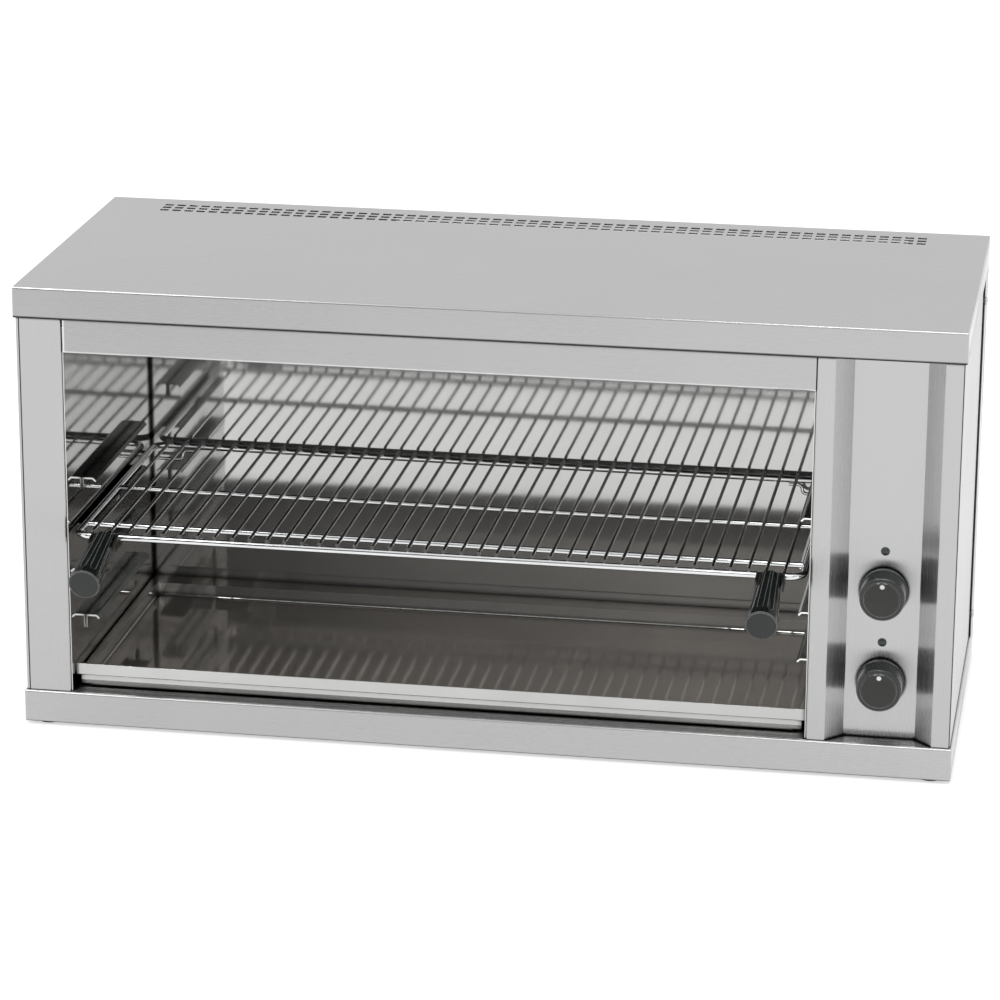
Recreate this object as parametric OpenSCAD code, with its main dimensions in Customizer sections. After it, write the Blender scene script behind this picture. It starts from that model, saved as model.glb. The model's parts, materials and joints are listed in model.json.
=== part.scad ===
// Cheese melter: an open-fronted electric grill of folded steel sheet with a sliding
// wire shelf, a crumb tray, two tubular elements and a control column.
// Millimetres. X is to the right, Y to the back, Z up. The origin is on the floor,
// under the middle of the whole width and of the whole depth, from the grips to the gland.

/* [Casing] */
// Width over the top cover and base
casing_w = 800; // [760:5:900]
// Depth over the top cover and base
casing_d = 335; // [330:5:400]
// Height from the base's lower edge to the top
casing_h = 389; // [385:1:430]
// Height of the base
base_h = 29; // [24:1:33]
// Height of the top cover's front and side bands
band_h = 27; // [22:1:36]
// Thickness of the outer sheet
sheet = 1.2; // [0.8:0.1:1.5]
// Outer radius of the folds in the outer sheet
fold_r = 2; // [1.6:0.1:3]
// Gap between the side panels and the top cover's side bands
side_gap = 0.7; // [0.2:0.1:3]
// Gap between the front parts and the top cover's front band
front_gap = 1; // [0.1:0.1:3]
// Gap between the rear cover and the top cover's rear flange
rear_gap = 0.3; // [0.1:0.1:2]
// Width of the front post
post_w = 39.7; // [30:0.1:60]
// Depth of the return folds behind the front edges
return_d = 12; // [6:1:20]
// Width of the base's lip along its lower edge
base_lip = 34; // [32:1:50]
// Height of the top fascia that shows below the top cover
fascia_h = 29.6; // [20:0.1:45]
// Gap between the top fascia and the front post
fascia_gap = 1; // [0.3:0.1:2]
// Gap between sheets that lie or stand on each other
seat = 0.2; // [0.1:0.05:0.4]

/* [Feet] */
// Height of the rubber feet below the base
foot_h = 3; // [2:0.5:12]
// Diameter of the feet
foot_dia = 24; // [16:1:28]
// Distance of the feet's centres from the casing's edges
foot_edge = 18; // [16:1:20]

/* [Vents] */
// Length of a vent slot
slot_l = 7.8; // [5:0.1:9]
// Width of a vent slot
slot_w = 5.6; // [3:0.1:7]
// Distance between slots in a row
slot_pitch = 11.2; // [10.5:0.1:16]
// Distance between the rows of slots
slot_row_pitch = 9.8; // [8:0.1:12]
// Number of rows
slot_rows = 3; // [1:1:3]
// Distance of the last row's centre from the rear edge
slot_rear = 23.5; // [12:0.5:30]
// Free margin at both ends of the rows
slot_margin = 53.5; // [30:0.5:120]
// Height of the top cover's short rear flange
rear_flange_h = 7; // [4:0.5:9]
// Height of the exhaust gap under that flange
exhaust_h = 6; // [3:0.5:12]
// Left end of the exhaust gap
exhaust_x0 = -136; // [-250:1:-100]
// Right end of the exhaust gap
exhaust_x1 = 328; // [150:1:330]

/* [Rear cover] */
// Depth of the rear cover's side flanges
rear_side_d = 50; // [34:1:70]
// Overlap of the side panels and the rear cover's flanges
side_lap = 16; // [12:1:24]
// Height of the lower side screws above the base
screw_low = 20; // [12:1:60]
// Distance of the upper side screws below the top cover's band
screw_high = 22; // [12:1:60]

/* [Control column] */
// Width of the control column
column_w = 120.6; // [116:0.1:150]
// Width of its recessed flat
recess_w = 60; // [48:1:62]
// Depth of the recess
recess_d = 15; // [8:0.5:18]
// Height of the lower knob's axis above the base
knob_rise = 51; // [40:1:80]
// Distance between the knobs
knob_pitch = 80; // [70:1:110]
// Height of each pilot lamp above its knob's axis
lamp_rise = 34; // [30:0.5:38]

/* [Knobs] */
// Diameter of the skirt
knob_dia = 40; // [38:0.5:44]
// Diameter at the front edge
knob_front_dia = 37.5; // [35:0.5:38]
// Length of the knob along its axis
knob_len = 24; // [20:0.5:30]
// Gap between the skirt and the panel
knob_gap = 1.2; // [0.8:0.1:3]
// Diameter of the inset cap
cap_dia = 29; // [22:0.5:31]
// Depth of the dish in the cap
cap_dish = 1.2; // [0.4:0.1:1.6]
// Diameter of the index dot
dot_dia = 4; // [2.5:0.1:5]
// Diameter of the regulator's shaft
shaft_dia = 6; // [5:0.1:7]

/* [Pilot lamps] */
// Diameter of the lens
lens_dia = 7; // [5:0.1:9]
// How far the lens stands out of the panel
lens_rise = 1.4; // [0.8:0.1:3]
// Length of the lamp's body behind the panel
lamp_len = 24; // [15:1:35]

/* [Chamber] */
// Height from the chamber's ceiling to the casing's top
roof_h = 34; // [30:1:60]
// Depth of the duct between the chamber's back wall and the casing's rear edge
duct_d = 47; // [38:1:50]
// Thickness of the chamber's polished sheet
liner = 0.8; // [0.6:0.1:1.2]
// Gap at the chamber's rear corners
corner_gap = 1.5; // [0.5:0.1:3]
// Thickness of the insulation mat on the ceiling
mat_h = 16; // [8:1:20]

/* [Shelf runners] */
// Height of the lowest runner's top above the base
runner_rise = 54.4; // [45:0.1:62]
// Distance between levels
level_pitch = 41.7; // [38:0.1:48]
// Distance of the runners' front ends from the casing's front edge
runner_front = 50; // [40:1:70]
// Length of the runners
runner_len = 175; // [150:1:200]
// Width of a runner's ledge
ledge_w = 10; // [9:0.5:14]
// Width and fall of the ledge's turned-down edge
ledge_lip = 2.7; // [2:0.1:4]
// Thickness of the runners
runner_t = 1.5; // [1:0.1:2]
// Width of a hanging tab
tab_w = 6; // [5:0.5:10]
// Height of a hanging tab
tab_h = 12; // [10:0.5:16]

/* [Shelf] */
// Number of free levels below the shelf
free_levels = 2; // [1:1:3]
// Diameter of the frame's wire
frame_wire = 6; // [5:0.5:7]
// Diameter of the cross wires under the deck
cross_wire = 5; // [3.5:0.5:5]
// Diameter of the deck's wires
deck_wire = 3; // [2:0.1:4]
// Number of deck wires
deck_count = 40; // [30:1:46]
// Clearance of the frame at each side of the chamber
shelf_side_gap = 2.5; // [1.5:0.1:3]
// Distance of the front wire's centre from the casing's front edge
shelf_front = 8; // [6:0.5:12]
// Depth of the shelf between the centres of its front and rear wires
shelf_d = 272; // [250:1:276]
// Radius of the frame's corners at the wire's centre
frame_corner_r = 12; // [9:0.5:20]
// Distance of the first cross wire from the front wire
cross_first = 31; // [20:1:45]
// Distance of the tilt hooks' welds from the chamber's side walls
hook_inset = 36; // [30:1:60]
// Radius of the tilt hooks' two bends at the wire's centre
hook_bend_r = 4.2; // [3:0.1:6]
// Clearance between the shelf or tray and what it slides on
slide_gap = 0.3; // [0.2:0.05:0.6]
// Gap at the welds between crossing wires
weld_gap = 0.1; // [0.05:0.05:0.2]

/* [Grips] */
// Distance of each grip from the frame's side wire
grip_inset = 26.6; // [20:0.1:200]
// Angle of the grips below the horizontal
grip_droop = 14; // [0:1:25]
// Length of a grip
grip_len = 72; // [60:1:95]
// Diameter at the shelf's end
grip_root_dia = 19; // [18:0.5:21]
// Diameter at the outer end
grip_end_dia = 27; // [24:0.5:30]
// Number of flutes round a grip
flute_count = 9; // [6:1:10]
// Radius of a flute
flute_r = 5; // [4:0.5:7]
// Depth of a flute
flute_depth = 0.9; // [0.4:0.1:1.4]
// Diameter of the stud that holds a grip
stud_dia = 5; // [4:0.5:6]
// Length of that stud
stud_len = 34; // [20:1:45]

/* [Crumb tray] */
// Distance of the tray's front lip from the casing's front edge
tray_front = 15; // [12:0.5:25]
// Height of the tray's walls over its floor's underside
tray_wall_h = 13.2; // [10:0.1:20]
// Height of the front lip above the walls
tray_lip_h = 8.5; // [5:0.1:14]
// Width of the rims along the sides
tray_side_rim = 8; // [6:0.5:14]
// Width of the rim at the back
tray_rear_rim = 24; // [12:0.5:40]
// Width of the ledge between the front wall and the lip
tray_front_rim = 4; // [2.6:0.1:8]
// Thickness of the tray's sheet
tray_t = 1; // [0.7:0.1:1.5]
// Clearance of the tray at each side of the chamber
tray_gap = 1; // [0.6:0.1:3]

/* [Heating elements] */
// Diameter of the heating tube
tube_dia = 8; // [6.4:0.1:8.5]
// Distance between a tube's legs
leg_pitch = 28; // [25:0.5:29]
// Depth of the tubes' centres below the ceiling
tube_drop = 11; // [9:0.5:13]
// Distance of the left bends from the chamber's left wall
bend_left = 24; // [15:1:60]
// Distance of the inner bend from the chamber's right wall
bend_right = 34; // [25:1:60]
// Length of the elements' cold ends beyond the right wall
cold_end = 18; // [15:1:24]

/* [Cable entry] */
// Radius of the gland's cable bore
gland_bore_r = 5; // [3:0.1:5.5]
// Height of the gland above the base
gland_rise = 60; // [50:1:90]

/* [Hidden] */

$fn = 48;
// Steps along a fold
bend_steps = 4;
// Length that a cutting solid passes the faces it cuts
past = 1;

// Colours
steel = "#c4c5c3";
polished = "#b9bab8";
wire_steel = "#d6d8d8";
bakelite = "#2b302d";
lens_grey = "#4d534f";
ceramic = "#e6e2d6";
element_grey = "#55534f";
brass = "#b99a55";
mineral_wool = "#d9cf9e";

// Grips
bracket_t = 1.5;
bracket_arm = 12;
bracket_h = 9;
bracket_gap = 0.3;
bracket_in = (grip_root_dia + (grip_end_dia - grip_root_dia) * bracket_arm / grip_len) / 2 + bracket_gap;
grip_seat = frame_wire / 2 + weld_gap + bracket_t + weld_gap;
grip_chamfer = 0.8;
flute_end = 12;
grip_reach = (grip_seat + grip_len) * cos(grip_droop) + (grip_end_dia / 2 - grip_chamfer) * sin(grip_droop);

// Cable gland
gland_dia = 16;
gland_hex = 22;
gland_hex_h = 5;
gland_cone_h = 6;
gland_thread = 9;
gland_out = seat + gland_hex_h + gland_cone_h;

// Casing
side_x = casing_w / 2;
depth_mid = (grip_reach - shelf_front + sheet + rear_gap - gland_out) / 2;
front_y = depth_mid - casing_d / 2;
rear_y = depth_mid + casing_d / 2;
base_top = foot_h + base_h;
top_z = foot_h + casing_h;
band_z = top_z - band_h;
skin_x = side_x - sheet - side_gap;
skin_y = front_y + sheet + front_gap;
skin_z0 = base_top + seat;
skin_z1 = top_z - sheet - seat;
back_y = rear_y - sheet - rear_gap;
rear_side_y = rear_y - rear_side_d;
post_x = -skin_x + post_w;
column_x = skin_x - column_w;
fascia_z = band_z - fascia_h;
slot_count = floor((casing_w - 2 * slot_margin + slot_pitch - slot_l) / slot_pitch);
gland_z = base_top + gland_rise;
notch_y = 25;
notch_w = 2.5;
notch_h = 5;
foot_stem_dia = 6;
foot_button_dia = 9;
foot_button_h = 2.4;

// Chamber
inner_x0 = post_x + seat + liner;
inner_x1 = column_x - seat - liner;
inner_mid = (inner_x0 + inner_x1) / 2;
inner_back = rear_y - duct_d;
wall_y0 = skin_y + sheet + seat;
wall_y1 = inner_back - corner_gap;
ceiling_z = top_z - roof_h;
ceiling_flange = 10;

// Control column
column_mid = column_x + column_w / 2;
recess_y = skin_y + recess_d;
lower_knob_z = base_top + knob_rise;
upper_knob_z = lower_knob_z + knob_pitch;
shaft_gap = 0.05;
bushing_dia = shaft_dia + 4;
bushing_gap = 0.2;
regulator_size = 38;
regulator_depth = 30;
regulator_screw_dia = 3;
regulator_screw_pitch = 25;
tag_t = 0.8;
lens_stem = 3;

// Runners and shelf
levels = [1, 2, 3, 4];
runner_y = front_y + runner_front;
hook_reach = 2.5;
hook_h = 4;
hook_drop = 3;
hook_clear = 0.4;
slot_h = hook_h + hook_drop + hook_clear;
frame_z = ledge_z(free_levels + 1) + slide_gap + frame_wire / 2;
deck_z = frame_z + frame_wire / 2 + weld_gap + deck_wire / 2;
cross_z = deck_z - deck_wire / 2 - weld_gap - cross_wire / 2;
frame_x0 = inner_x0 + shelf_side_gap + frame_wire / 2;
frame_x1 = inner_x1 - shelf_side_gap - frame_wire / 2;
shelf_y0 = front_y + shelf_front;
shelf_y1 = shelf_y0 + shelf_d;
deck_pitch = (frame_x1 - frame_x0) / (deck_count + 1);
cross_places = [cross_first, shelf_d / 2];
weld_run = 8;

// Tray
tray_z = base_top + slide_gap;
tray_x0 = inner_x0 + tray_gap;
tray_x1 = inner_x1 - tray_gap;
tray_y0 = front_y + tray_front;
tray_y1 = inner_back - tray_gap;
tray_rim_z = tray_z + tray_wall_h;
tray_corner_r = 6;
tray_wing_gap = 3;
tray_fold_r = 1.5;

// Elements
tube_z = ceiling_z - tube_drop;
legs = 4;
// Whole millimetres keep the straights and the bends in line
leg_y0 = round((skin_y + inner_back - (2 * legs - 1) * leg_pitch) / 2);
bend_x0 = round(inner_x0 + bend_left + leg_pitch / 2);
bend_x1 = round(inner_x1 - bend_right - leg_pitch / 2);
hanger_inset = (inner_x1 - inner_x0) / 8;
bush_dia = tube_dia + 4;
bush_gap = 0.2;
bush_len = 8;
bush_rim_w = 2.5;
bush_rim_t = 3;
pin_dia = 4;
pin_len = 10;

// Knobs
skirt_h = 3.6;
knob_bevel = 2;
hub_r = 6.5;
cap_seat = 2.4;
cap_gap = 0.1;
dot_r = cap_dia / 2 - dot_dia / 2 - 1.6;
dot_h = 0.8;

// Small parts
screw_dia = 4;
screw_head_dia = 7.5;
screw_head_h = 1.8;
screw_len = 8;
screw_gap = 0.2;

// ---------- Folded sheet ----------

function along(a) = [cos(a), sin(a)];
function normal(a) = [-sin(a), cos(a)];
function heading(p, q) = atan2(q[1] - p[1], q[0] - p[0]);
function wrapped(a) = a > 180 ? a - 360 : a <= -180 ? a + 360 : a;
function reversed(list) = [for (i = [len(list) - 1 : -1 : 0]) list[i]];

// One face of the bend at corner p. side is 0 on the drawn face and t on the face to its left.
function bend(p, a0, a1, t, r, side) =
    let (turn = wrapped(a1 - a0), s = sign(turn), rp = turn > 0 ? r : r - t)
    let (c = p - rp * tan(abs(turn) / 2) * along(a0) + s * rp * normal(a0))
    [for (k = [0 : bend_steps]) c - s * (rp - s * side) * normal(a0 + turn * k / bend_steps)];

// One face of a sheet that is folded along path
function face(path, t, r, side) =
    let (n = len(path))
    concat(
        [path[0] + side * normal(heading(path[0], path[1]))],
        [for (i = [1 : n - 2])
            for (p = bend(path[i], heading(path[i - 1], path[i]), heading(path[i], path[i + 1]), t, r, side))
                p],
        [path[n - 1] + side * normal(heading(path[n - 2], path[n - 1]))]);

// Section of a sheet of thickness t folded along path, with the sheet to the path's left
module folded(path, t = sheet, r = fold_r) {
    polygon(concat(face(path, t, r, 0), reversed(face(path, t, r, t))));
}

// Extrudes a section drawn in Y and Z from x0 to x1
module along_x(x0, x1) {
    translate([x0, 0, 0]) rotate([90, 0, 90]) linear_extrude(x1 - x0) children();
}

// Extrudes a section drawn in X and Z from y0 to y1
module along_y(y0, y1) {
    translate([0, y1, 0]) rotate([90, 0, 0]) linear_extrude(y1 - y0) children();
}

// Extrudes a section drawn in X and Y from z0 to z1
module along_z(z0, z1) {
    translate([0, 0, z0]) linear_extrude(z1 - z0) children();
}

// Outline w wide and h high that stands on the x axis, rounded by r0 below and r1 above
function slab_outline(w, h, r0, r1) = [
    for (c = [[1, r0, r0, 270], [1, h - r1, r1, 0], [-1, h - r1, r1, 90], [-1, r0, r0, 180]])
        for (k = [0 : bend_steps])
            [c[0] * (w / 2 - c[2]), c[1]] + c[2] * along(c[3] + 90 * k / bend_steps)];

// Box centred on the z axis that stands on z = 0, with its edges rounded by r0 below,
// r1 above and r_up along the upright edges
module soft_box(w, d, h, r0, r1, r_up) {
    intersection() {
        along_y(-d / 2, d / 2) polygon(slab_outline(w, h, r0, r1));
        along_x(-w / 2, w / 2) polygon(slab_outline(d, h, r0, r1));
        along_z(0, h) translate([0, -d / 2]) polygon(slab_outline(w, d, r_up, r_up));
    }
}

module box(from, to) {
    translate(from) cube(to - from);
}

module rod_x(d, x0, x1) {
    translate([x0, 0, 0]) rotate([0, 90, 0]) cylinder(d = d, h = x1 - x0);
}

module rod_y(d, y0, y1) {
    translate([0, y0, 0]) rotate([-90, 0, 0]) cylinder(d = d, h = y1 - y0);
}

// ---------- Casing ----------

module base_pan() color(steel) difference() {
    translate([0, depth_mid, foot_h]) soft_box(casing_w, casing_d, base_h, fold_r, fold_r, fold_r);
    box([-side_x + sheet, front_y + sheet, foot_h + sheet],
        [side_x - sheet, rear_y - sheet, base_top - sheet]);
    box([-side_x + base_lip, front_y + base_lip, foot_h - past],
        [side_x - base_lip, rear_y - base_lip, foot_h + sheet + past]);
    for (sx = [-1, 1], sy = [-1, 1]) translate(foot_place(sx, sy))
        cylinder(d = foot_stem_dia + 2 * seat, h = foot_h + sheet + past);
}

function foot_place(sx, sy) = [sx * (side_x - foot_edge), depth_mid + sy * (casing_d / 2 - foot_edge), 0];

// Rubber foot whose stem and button snap through the base's lip
module foot(sx, sy) color(bakelite) translate(foot_place(sx, sy)) rotate_extrude() polygon([
    [0, 0],
    [foot_dia / 2 - 1, 0],
    [foot_dia / 2, foot_h - seat],
    [foot_stem_dia / 2, foot_h - seat],
    [foot_stem_dia / 2, foot_h + sheet + seat],
    [foot_button_dia / 2, foot_h + sheet + seat],
    [foot_stem_dia / 2, foot_h + sheet + seat + foot_button_h],
    [0, foot_h + sheet + seat + foot_button_h]]);

module vent_slots() {
    translate([-(slot_count - 1) * slot_pitch / 2, rear_y - slot_rear])
        for (i = [0 : slot_count - 1], j = [0 : slot_rows - 1])
            translate([i * slot_pitch - slot_l / 2, -j * slot_row_pitch - slot_w / 2])
                square([slot_l, slot_w]);
}

module top_cover() color(steel) difference() {
    translate([0, depth_mid, band_z]) soft_box(casing_w, casing_d, band_h, seat, fold_r, fold_r);
    box([-side_x + sheet, front_y + sheet, band_z - past], [side_x - sheet, rear_y - sheet, top_z - sheet]);
    box([-side_x + sheet, rear_y - sheet - past, band_z - past],
        [side_x - sheet, rear_y + past, top_z - rear_flange_h]);
    along_z(top_z - sheet - past, top_z + past) vent_slots();
    for (side = [0, 1]) mirror([side, 0, 0])
        box([side_x - sheet - past, front_y + notch_y, band_z - past],
            [side_x + past, front_y + notch_y + notch_w, band_z + notch_h]);
}

// Places its child at each side screw, with x pointing out of the casing
module at_side_screws() {
    for (side = [0, 1], z = [base_top + screw_low, band_z - screw_high])
        mirror([side, 0, 0]) translate([side_x, rear_side_y + side_lap / 2, z]) children();
}

module rear_cover() color(steel) difference() {
    union() {
        along_z(skin_z0, band_z - seat) folded([
            [side_x, rear_side_y], [side_x, back_y], [-side_x, back_y], [-side_x, rear_side_y]]);
        box([-side_x + fold_r, back_y - sheet, band_z - fold_r], [side_x - fold_r, back_y, skin_z1]);
    }
    box([exhaust_x0, back_y - sheet - past, top_z - rear_flange_h - exhaust_h],
        [exhaust_x1, back_y + past, skin_z1 + past]);
    at_side_screws() rod_x(screw_dia + 2 * screw_gap, -sheet - past, past);
    translate([column_mid, 0, gland_z]) rod_y(gland_dia + 2 * seat, back_y - sheet - past, back_y + past);
}

module side_panel_screw_holes() {
    at_side_screws() rod_x(screw_dia + 2 * screw_gap, -2 * sheet - side_gap - past, -sheet);
}

module left_side_panel() color(steel) difference() {
    along_z(skin_z0, skin_z1) folded([
        [-skin_x, rear_side_y + side_lap], [-skin_x, skin_y], [post_x, skin_y], [post_x, skin_y + return_d]]);
    side_panel_screw_holes();
}

module right_side_panel() color(steel) difference() {
    along_z(skin_z0, skin_z1) folded([
        [skin_x - return_d, wall_y0], [skin_x, wall_y0], [skin_x, rear_side_y + side_lap]]);
    side_panel_screw_holes();
}

// Its returns stop short of the chamber's right wall
module top_fascia() color(steel) difference() {
    along_x(post_x + fascia_gap + seat, column_x - seat) folded([
        [skin_y + return_d, skin_z1], [skin_y, skin_z1], [skin_y, fascia_z], [skin_y + return_d, fascia_z]]);
    box([inner_x1 - seat, skin_y + sheet, fascia_z - past],
        [column_x, skin_y + return_d + past, skin_z1 + past]);
}

module control_panel() color(steel) difference() {
    along_z(skin_z0, skin_z1) folded([
        [column_x, skin_y + return_d],
        [column_x, skin_y],
        [column_mid - recess_w / 2 - recess_d, skin_y],
        [column_mid - recess_w / 2, recess_y],
        [column_mid + recess_w / 2, recess_y],
        [column_mid + recess_w / 2 + recess_d, skin_y],
        [skin_x - seat, skin_y]]);
    for (z = [lower_knob_z, upper_knob_z]) translate([column_mid, recess_y, z]) {
        rod_y(bushing_dia + 2 * bushing_gap, -past, sheet + past);
        translate([0, 0, lamp_rise]) rod_y(lens_dia + 2 * seat, -past, sheet + past);
        for (s = [-1, 1]) translate([s * regulator_screw_pitch / 2, 0, 0])
            rod_y(regulator_screw_dia + 2 * screw_gap, -past, sheet + past);
    }
}

module casing_screws() color(wire_steel)
    at_side_screws() pan_screw(screw_dia, screw_head_dia, screw_head_h, screw_len);

// Cross-slotted pan-head screw along x, with its head's seat at x = 0
module pan_screw(d, head_d, head_h, length) rotate([0, 90, 0]) difference() {
    rotate_extrude() polygon([
        [0, -length], [d / 2 - 0.5, -length], [d / 2, 0.5 - length], [d / 2, seat / 2],
        [head_d / 2, seat / 2], [head_d / 2, head_h * 0.4], [head_d / 2 - 0.6, head_h * 0.8],
        [head_d / 2 - 1.6, head_h], [0, head_h]]);
    for (a = [0, 90]) rotate([0, 0, a]) translate([-head_d / 4, -0.4, head_h * 0.4])
        cube([head_d / 2, 0.8, head_h]);
}

// ---------- Chamber ----------

function ledge_z(level) = base_top + runner_rise + (level - 1) * level_pitch;
function tab_places() = [runner_y, runner_y + runner_len - tab_w];
function leg_y(i) = leg_y0 + i * leg_pitch;

// Mirrors a part of the chamber's left side to its right side
module right_side() {
    translate([2 * inner_mid, 0, 0]) mirror([1, 0, 0]) children();
}

module left_wall() difference() {
    box([inner_x0 - liner, wall_y0, skin_z0], [inner_x0, wall_y1, ceiling_z - seat]);
    for (level = levels, y = tab_places())
        box([inner_x0 - liner - past, y - hook_clear, ledge_z(level) - tab_h - hook_clear],
            [inner_x0 + past, y + tab_w + hook_clear, ledge_z(level) - tab_h + slot_h]);
}

module chamber_left_wall() color(polished) left_wall();

module chamber_right_wall() color(polished) difference() {
    right_side() left_wall();
    for (i = [0, legs - 1, legs, 2 * legs - 1]) translate([inner_x1, leg_y(i), tube_z])
        rod_x(bush_dia + 2 * bush_gap, -past, liner + past);
}

module chamber_back_wall() color(polished)
    box([inner_x0 - liner, inner_back, skin_z0], [inner_x1 + liner, inner_back + liner, ceiling_z - seat]);

module chamber_ceiling() color(polished)
    along_x(inner_x0 - liner, inner_x1 + liner) folded([
        [wall_y0, ceiling_z + ceiling_flange],
        [wall_y0, ceiling_z],
        [inner_back + liner, ceiling_z],
        [inner_back + liner, ceiling_z + ceiling_flange]], liner);

module insulation_mat() color(mineral_wool)
    box([inner_x0, wall_y0 + fold_r + seat, ceiling_z + liner + seat],
        [inner_x1, inner_back - fold_r - seat, ceiling_z + liner + seat + mat_h]);

// Shelf runner on the left wall: a ledge with a turned-down edge that hangs from two hooked tabs
module runner(level) color(wire_steel) translate([inner_x0, 0, ledge_z(level)]) {
    along_y(runner_y, runner_y + runner_len)
        folded([[ledge_w + ledge_lip, -ledge_lip], [ledge_w, 0], [seat, 0]], runner_t, runner_t + 0.5);
    for (y = tab_places()) {
        box([seat, y, -tab_h], [seat + runner_t, y + tab_w, -runner_t / 2]);
        box([-liner - hook_reach, y, -tab_h], [seat + runner_t / 2, y + tab_w, hook_h - tab_h]);
        box([-liner - hook_reach, y, -tab_h - hook_drop], [-liner - seat, y + tab_w, hook_h - tab_h]);
    }
}

// ---------- Heating elements ----------

// Tube bent into four legs, with its two cold ends and terminal pins to the right
module element(first) color(element_grey) {
    cold = inner_x1 + liner + cold_end;
    translate([0, 0, tube_z]) {
        for (i = [0 : legs - 1]) translate([0, leg_y(first + i), 0])
            rod_x(tube_dia, bend_x0, (i == 0 || i == legs - 1) ? cold : bend_x1);
        for (i = [0 : legs - 2])
            translate([i % 2 == 0 ? bend_x0 : bend_x1, leg_y(first + i) + leg_pitch / 2, 0])
                rotate([0, 0, i % 2 == 0 ? 90 : -90]) rotate_extrude(angle = 180)
                    translate([leg_pitch / 2, 0]) circle(d = tube_dia);
        for (i = [0, legs - 1]) translate([0, leg_y(first + i), 0])
            rod_x(pin_dia, cold, cold + pin_len);
    }
}

module element_bushes() color(ceramic)
    for (i = [0, legs - 1, legs, 2 * legs - 1]) translate([inner_x1, leg_y(i), tube_z]) difference() {
        union() {
            rod_x(bush_dia, -seat, liner + bush_len);
            rod_x(bush_dia + 2 * bush_rim_w, -seat - bush_rim_t, -seat);
        }
        rod_x(tube_dia + 2 * bush_gap, -bush_rim_t - seat - past, liner + bush_len + past);
    }

// Strip under the ceiling with open-topped notches that the tubes lie in
module element_hanger(x) color(wire_steel) difference() {
    box([x, leg_y(0) - tube_dia - 4, tube_z - tube_dia / 2 - 5],
        [x + sheet, leg_y(2 * legs - 1) + tube_dia + 4, ceiling_z - seat]);
    for (i = [0 : 2 * legs - 1]) translate([x, leg_y(i), tube_z]) {
        rod_x(tube_dia + 2 * bush_gap, -past, sheet + past);
        box([-past, -tube_dia / 2 - bush_gap, 0], [sheet + past, tube_dia / 2 + bush_gap, tube_drop + past]);
    }
}

// ---------- Controls ----------

// Energy regulator behind the control panel, with its bushing through the panel
module regulator(z) color(bakelite) translate([column_mid, recess_y + sheet + seat, z]) difference() {
    union() {
        translate([0, regulator_depth / 2, -regulator_size / 2])
            soft_box(regulator_size, regulator_depth, regulator_size, 2, 2, 2);
        rod_y(bushing_dia, -sheet - seat - knob_gap / 2, past);
        for (x = [-12, -4, 4, 12])
            box([x - tag_t / 2, regulator_depth - past, -3], [x + tag_t / 2, regulator_depth + 8, 3]);
    }
    rod_y(shaft_dia + 2 * shaft_gap, -2 * past - sheet - knob_gap, regulator_depth * 0.6);
    for (s = [-1, 1]) translate([s * regulator_screw_pitch / 2, 0, 0])
        rod_y(regulator_screw_dia + 2 * screw_gap, -past, 8);
}

module regulator_screws() color(wire_steel)
    for (z = [lower_knob_z, upper_knob_z], s = [-1, 1])
        translate([column_mid + s * regulator_screw_pitch / 2, recess_y, z]) rotate([0, 0, -90])
            pan_screw(regulator_screw_dia, regulator_screw_dia * 1.8, 1.6, 6);

// Shaft of a regulator, from inside it to inside its knob
module shaft(z) color(brass) translate([column_mid, recess_y, z])
    rod_y(shaft_dia, -knob_gap - knob_len * 0.6, sheet + seat + regulator_depth * 0.5);

// Places its child on a knob's axis, with z pointing out of the panel from the skirt's edge
module on_knob(z) {
    translate([column_mid, recess_y - knob_gap, z]) rotate([90, 0, 0]) children();
}

module knob(z) color(bakelite) on_knob(z) difference() {
    rotate_extrude($fn = 96) polygon(concat(
        [[0, 0], [hub_r, 0], [hub_r, 4.5], [knob_dia / 2 - 3, 4.5], [knob_dia / 2 - 2.2, 0],
         [knob_dia / 2 - 0.6, 0], [knob_dia / 2, 0.6], [knob_dia / 2, skirt_h - 0.5],
         [knob_dia / 2 - 0.5, skirt_h], [knob_front_dia / 2 + 0.5, skirt_h + 0.3]],
        [for (k = [0 : bend_steps])
            [knob_front_dia / 2, knob_len] - knob_bevel * ([1, 1] - along(90 * k / bend_steps))],
        [[cap_dia / 2 + 0.7, knob_len], [cap_dia / 2 + cap_gap, knob_len - 0.6],
         [cap_dia / 2 + cap_gap, knob_len - cap_seat], [0, knob_len - cap_seat]]));
    translate([0, 0, -past]) cylinder(d = shaft_dia + 2 * shaft_gap, h = knob_len * 0.6 + past + seat);
}

// Dished cap with a pocket for the dot near its top
module knob_cap(z) color(lens_grey) on_knob(z) translate([0, 0, knob_len - cap_seat + cap_gap]) difference() {
    rotate_extrude($fn = 96) polygon(concat(
        [[0, 0], [cap_dia / 2, 0], [cap_dia / 2, cap_seat - 0.4], [cap_dia / 2 - 0.4, cap_seat - 0.1]],
        [for (k = [1 : 6]) [(cap_dia / 2 - 1) * (1 - k / 6), cap_seat - 0.1 - cap_dish * sin(90 * k / 6)]]));
    translate([0, dot_r, cap_seat - cap_dish - dot_h]) cylinder(d = dot_dia + cap_gap, h = cap_seat);
}

module knob_dot(z) color("white") on_knob(z)
    translate([0, dot_r, knob_len - cap_dish - dot_h + 2 * cap_gap])
        cylinder(d = dot_dia, h = dot_h + cap_dish / 2);

// Domed lens in the panel's bore
module lamp_lens(z) color(lens_grey)
    translate([column_mid, recess_y + sheet, z + lamp_rise]) rotate([90, 0, 0])
        rotate_extrude() polygon(concat(
            [[0, -lens_stem], [lens_dia / 2, -lens_stem]],
            [for (k = [0 : bend_steps])
                [lens_dia / 2 * cos(90 * k / bend_steps), sheet + lens_rise * sin(90 * k / bend_steps)]]));

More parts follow.
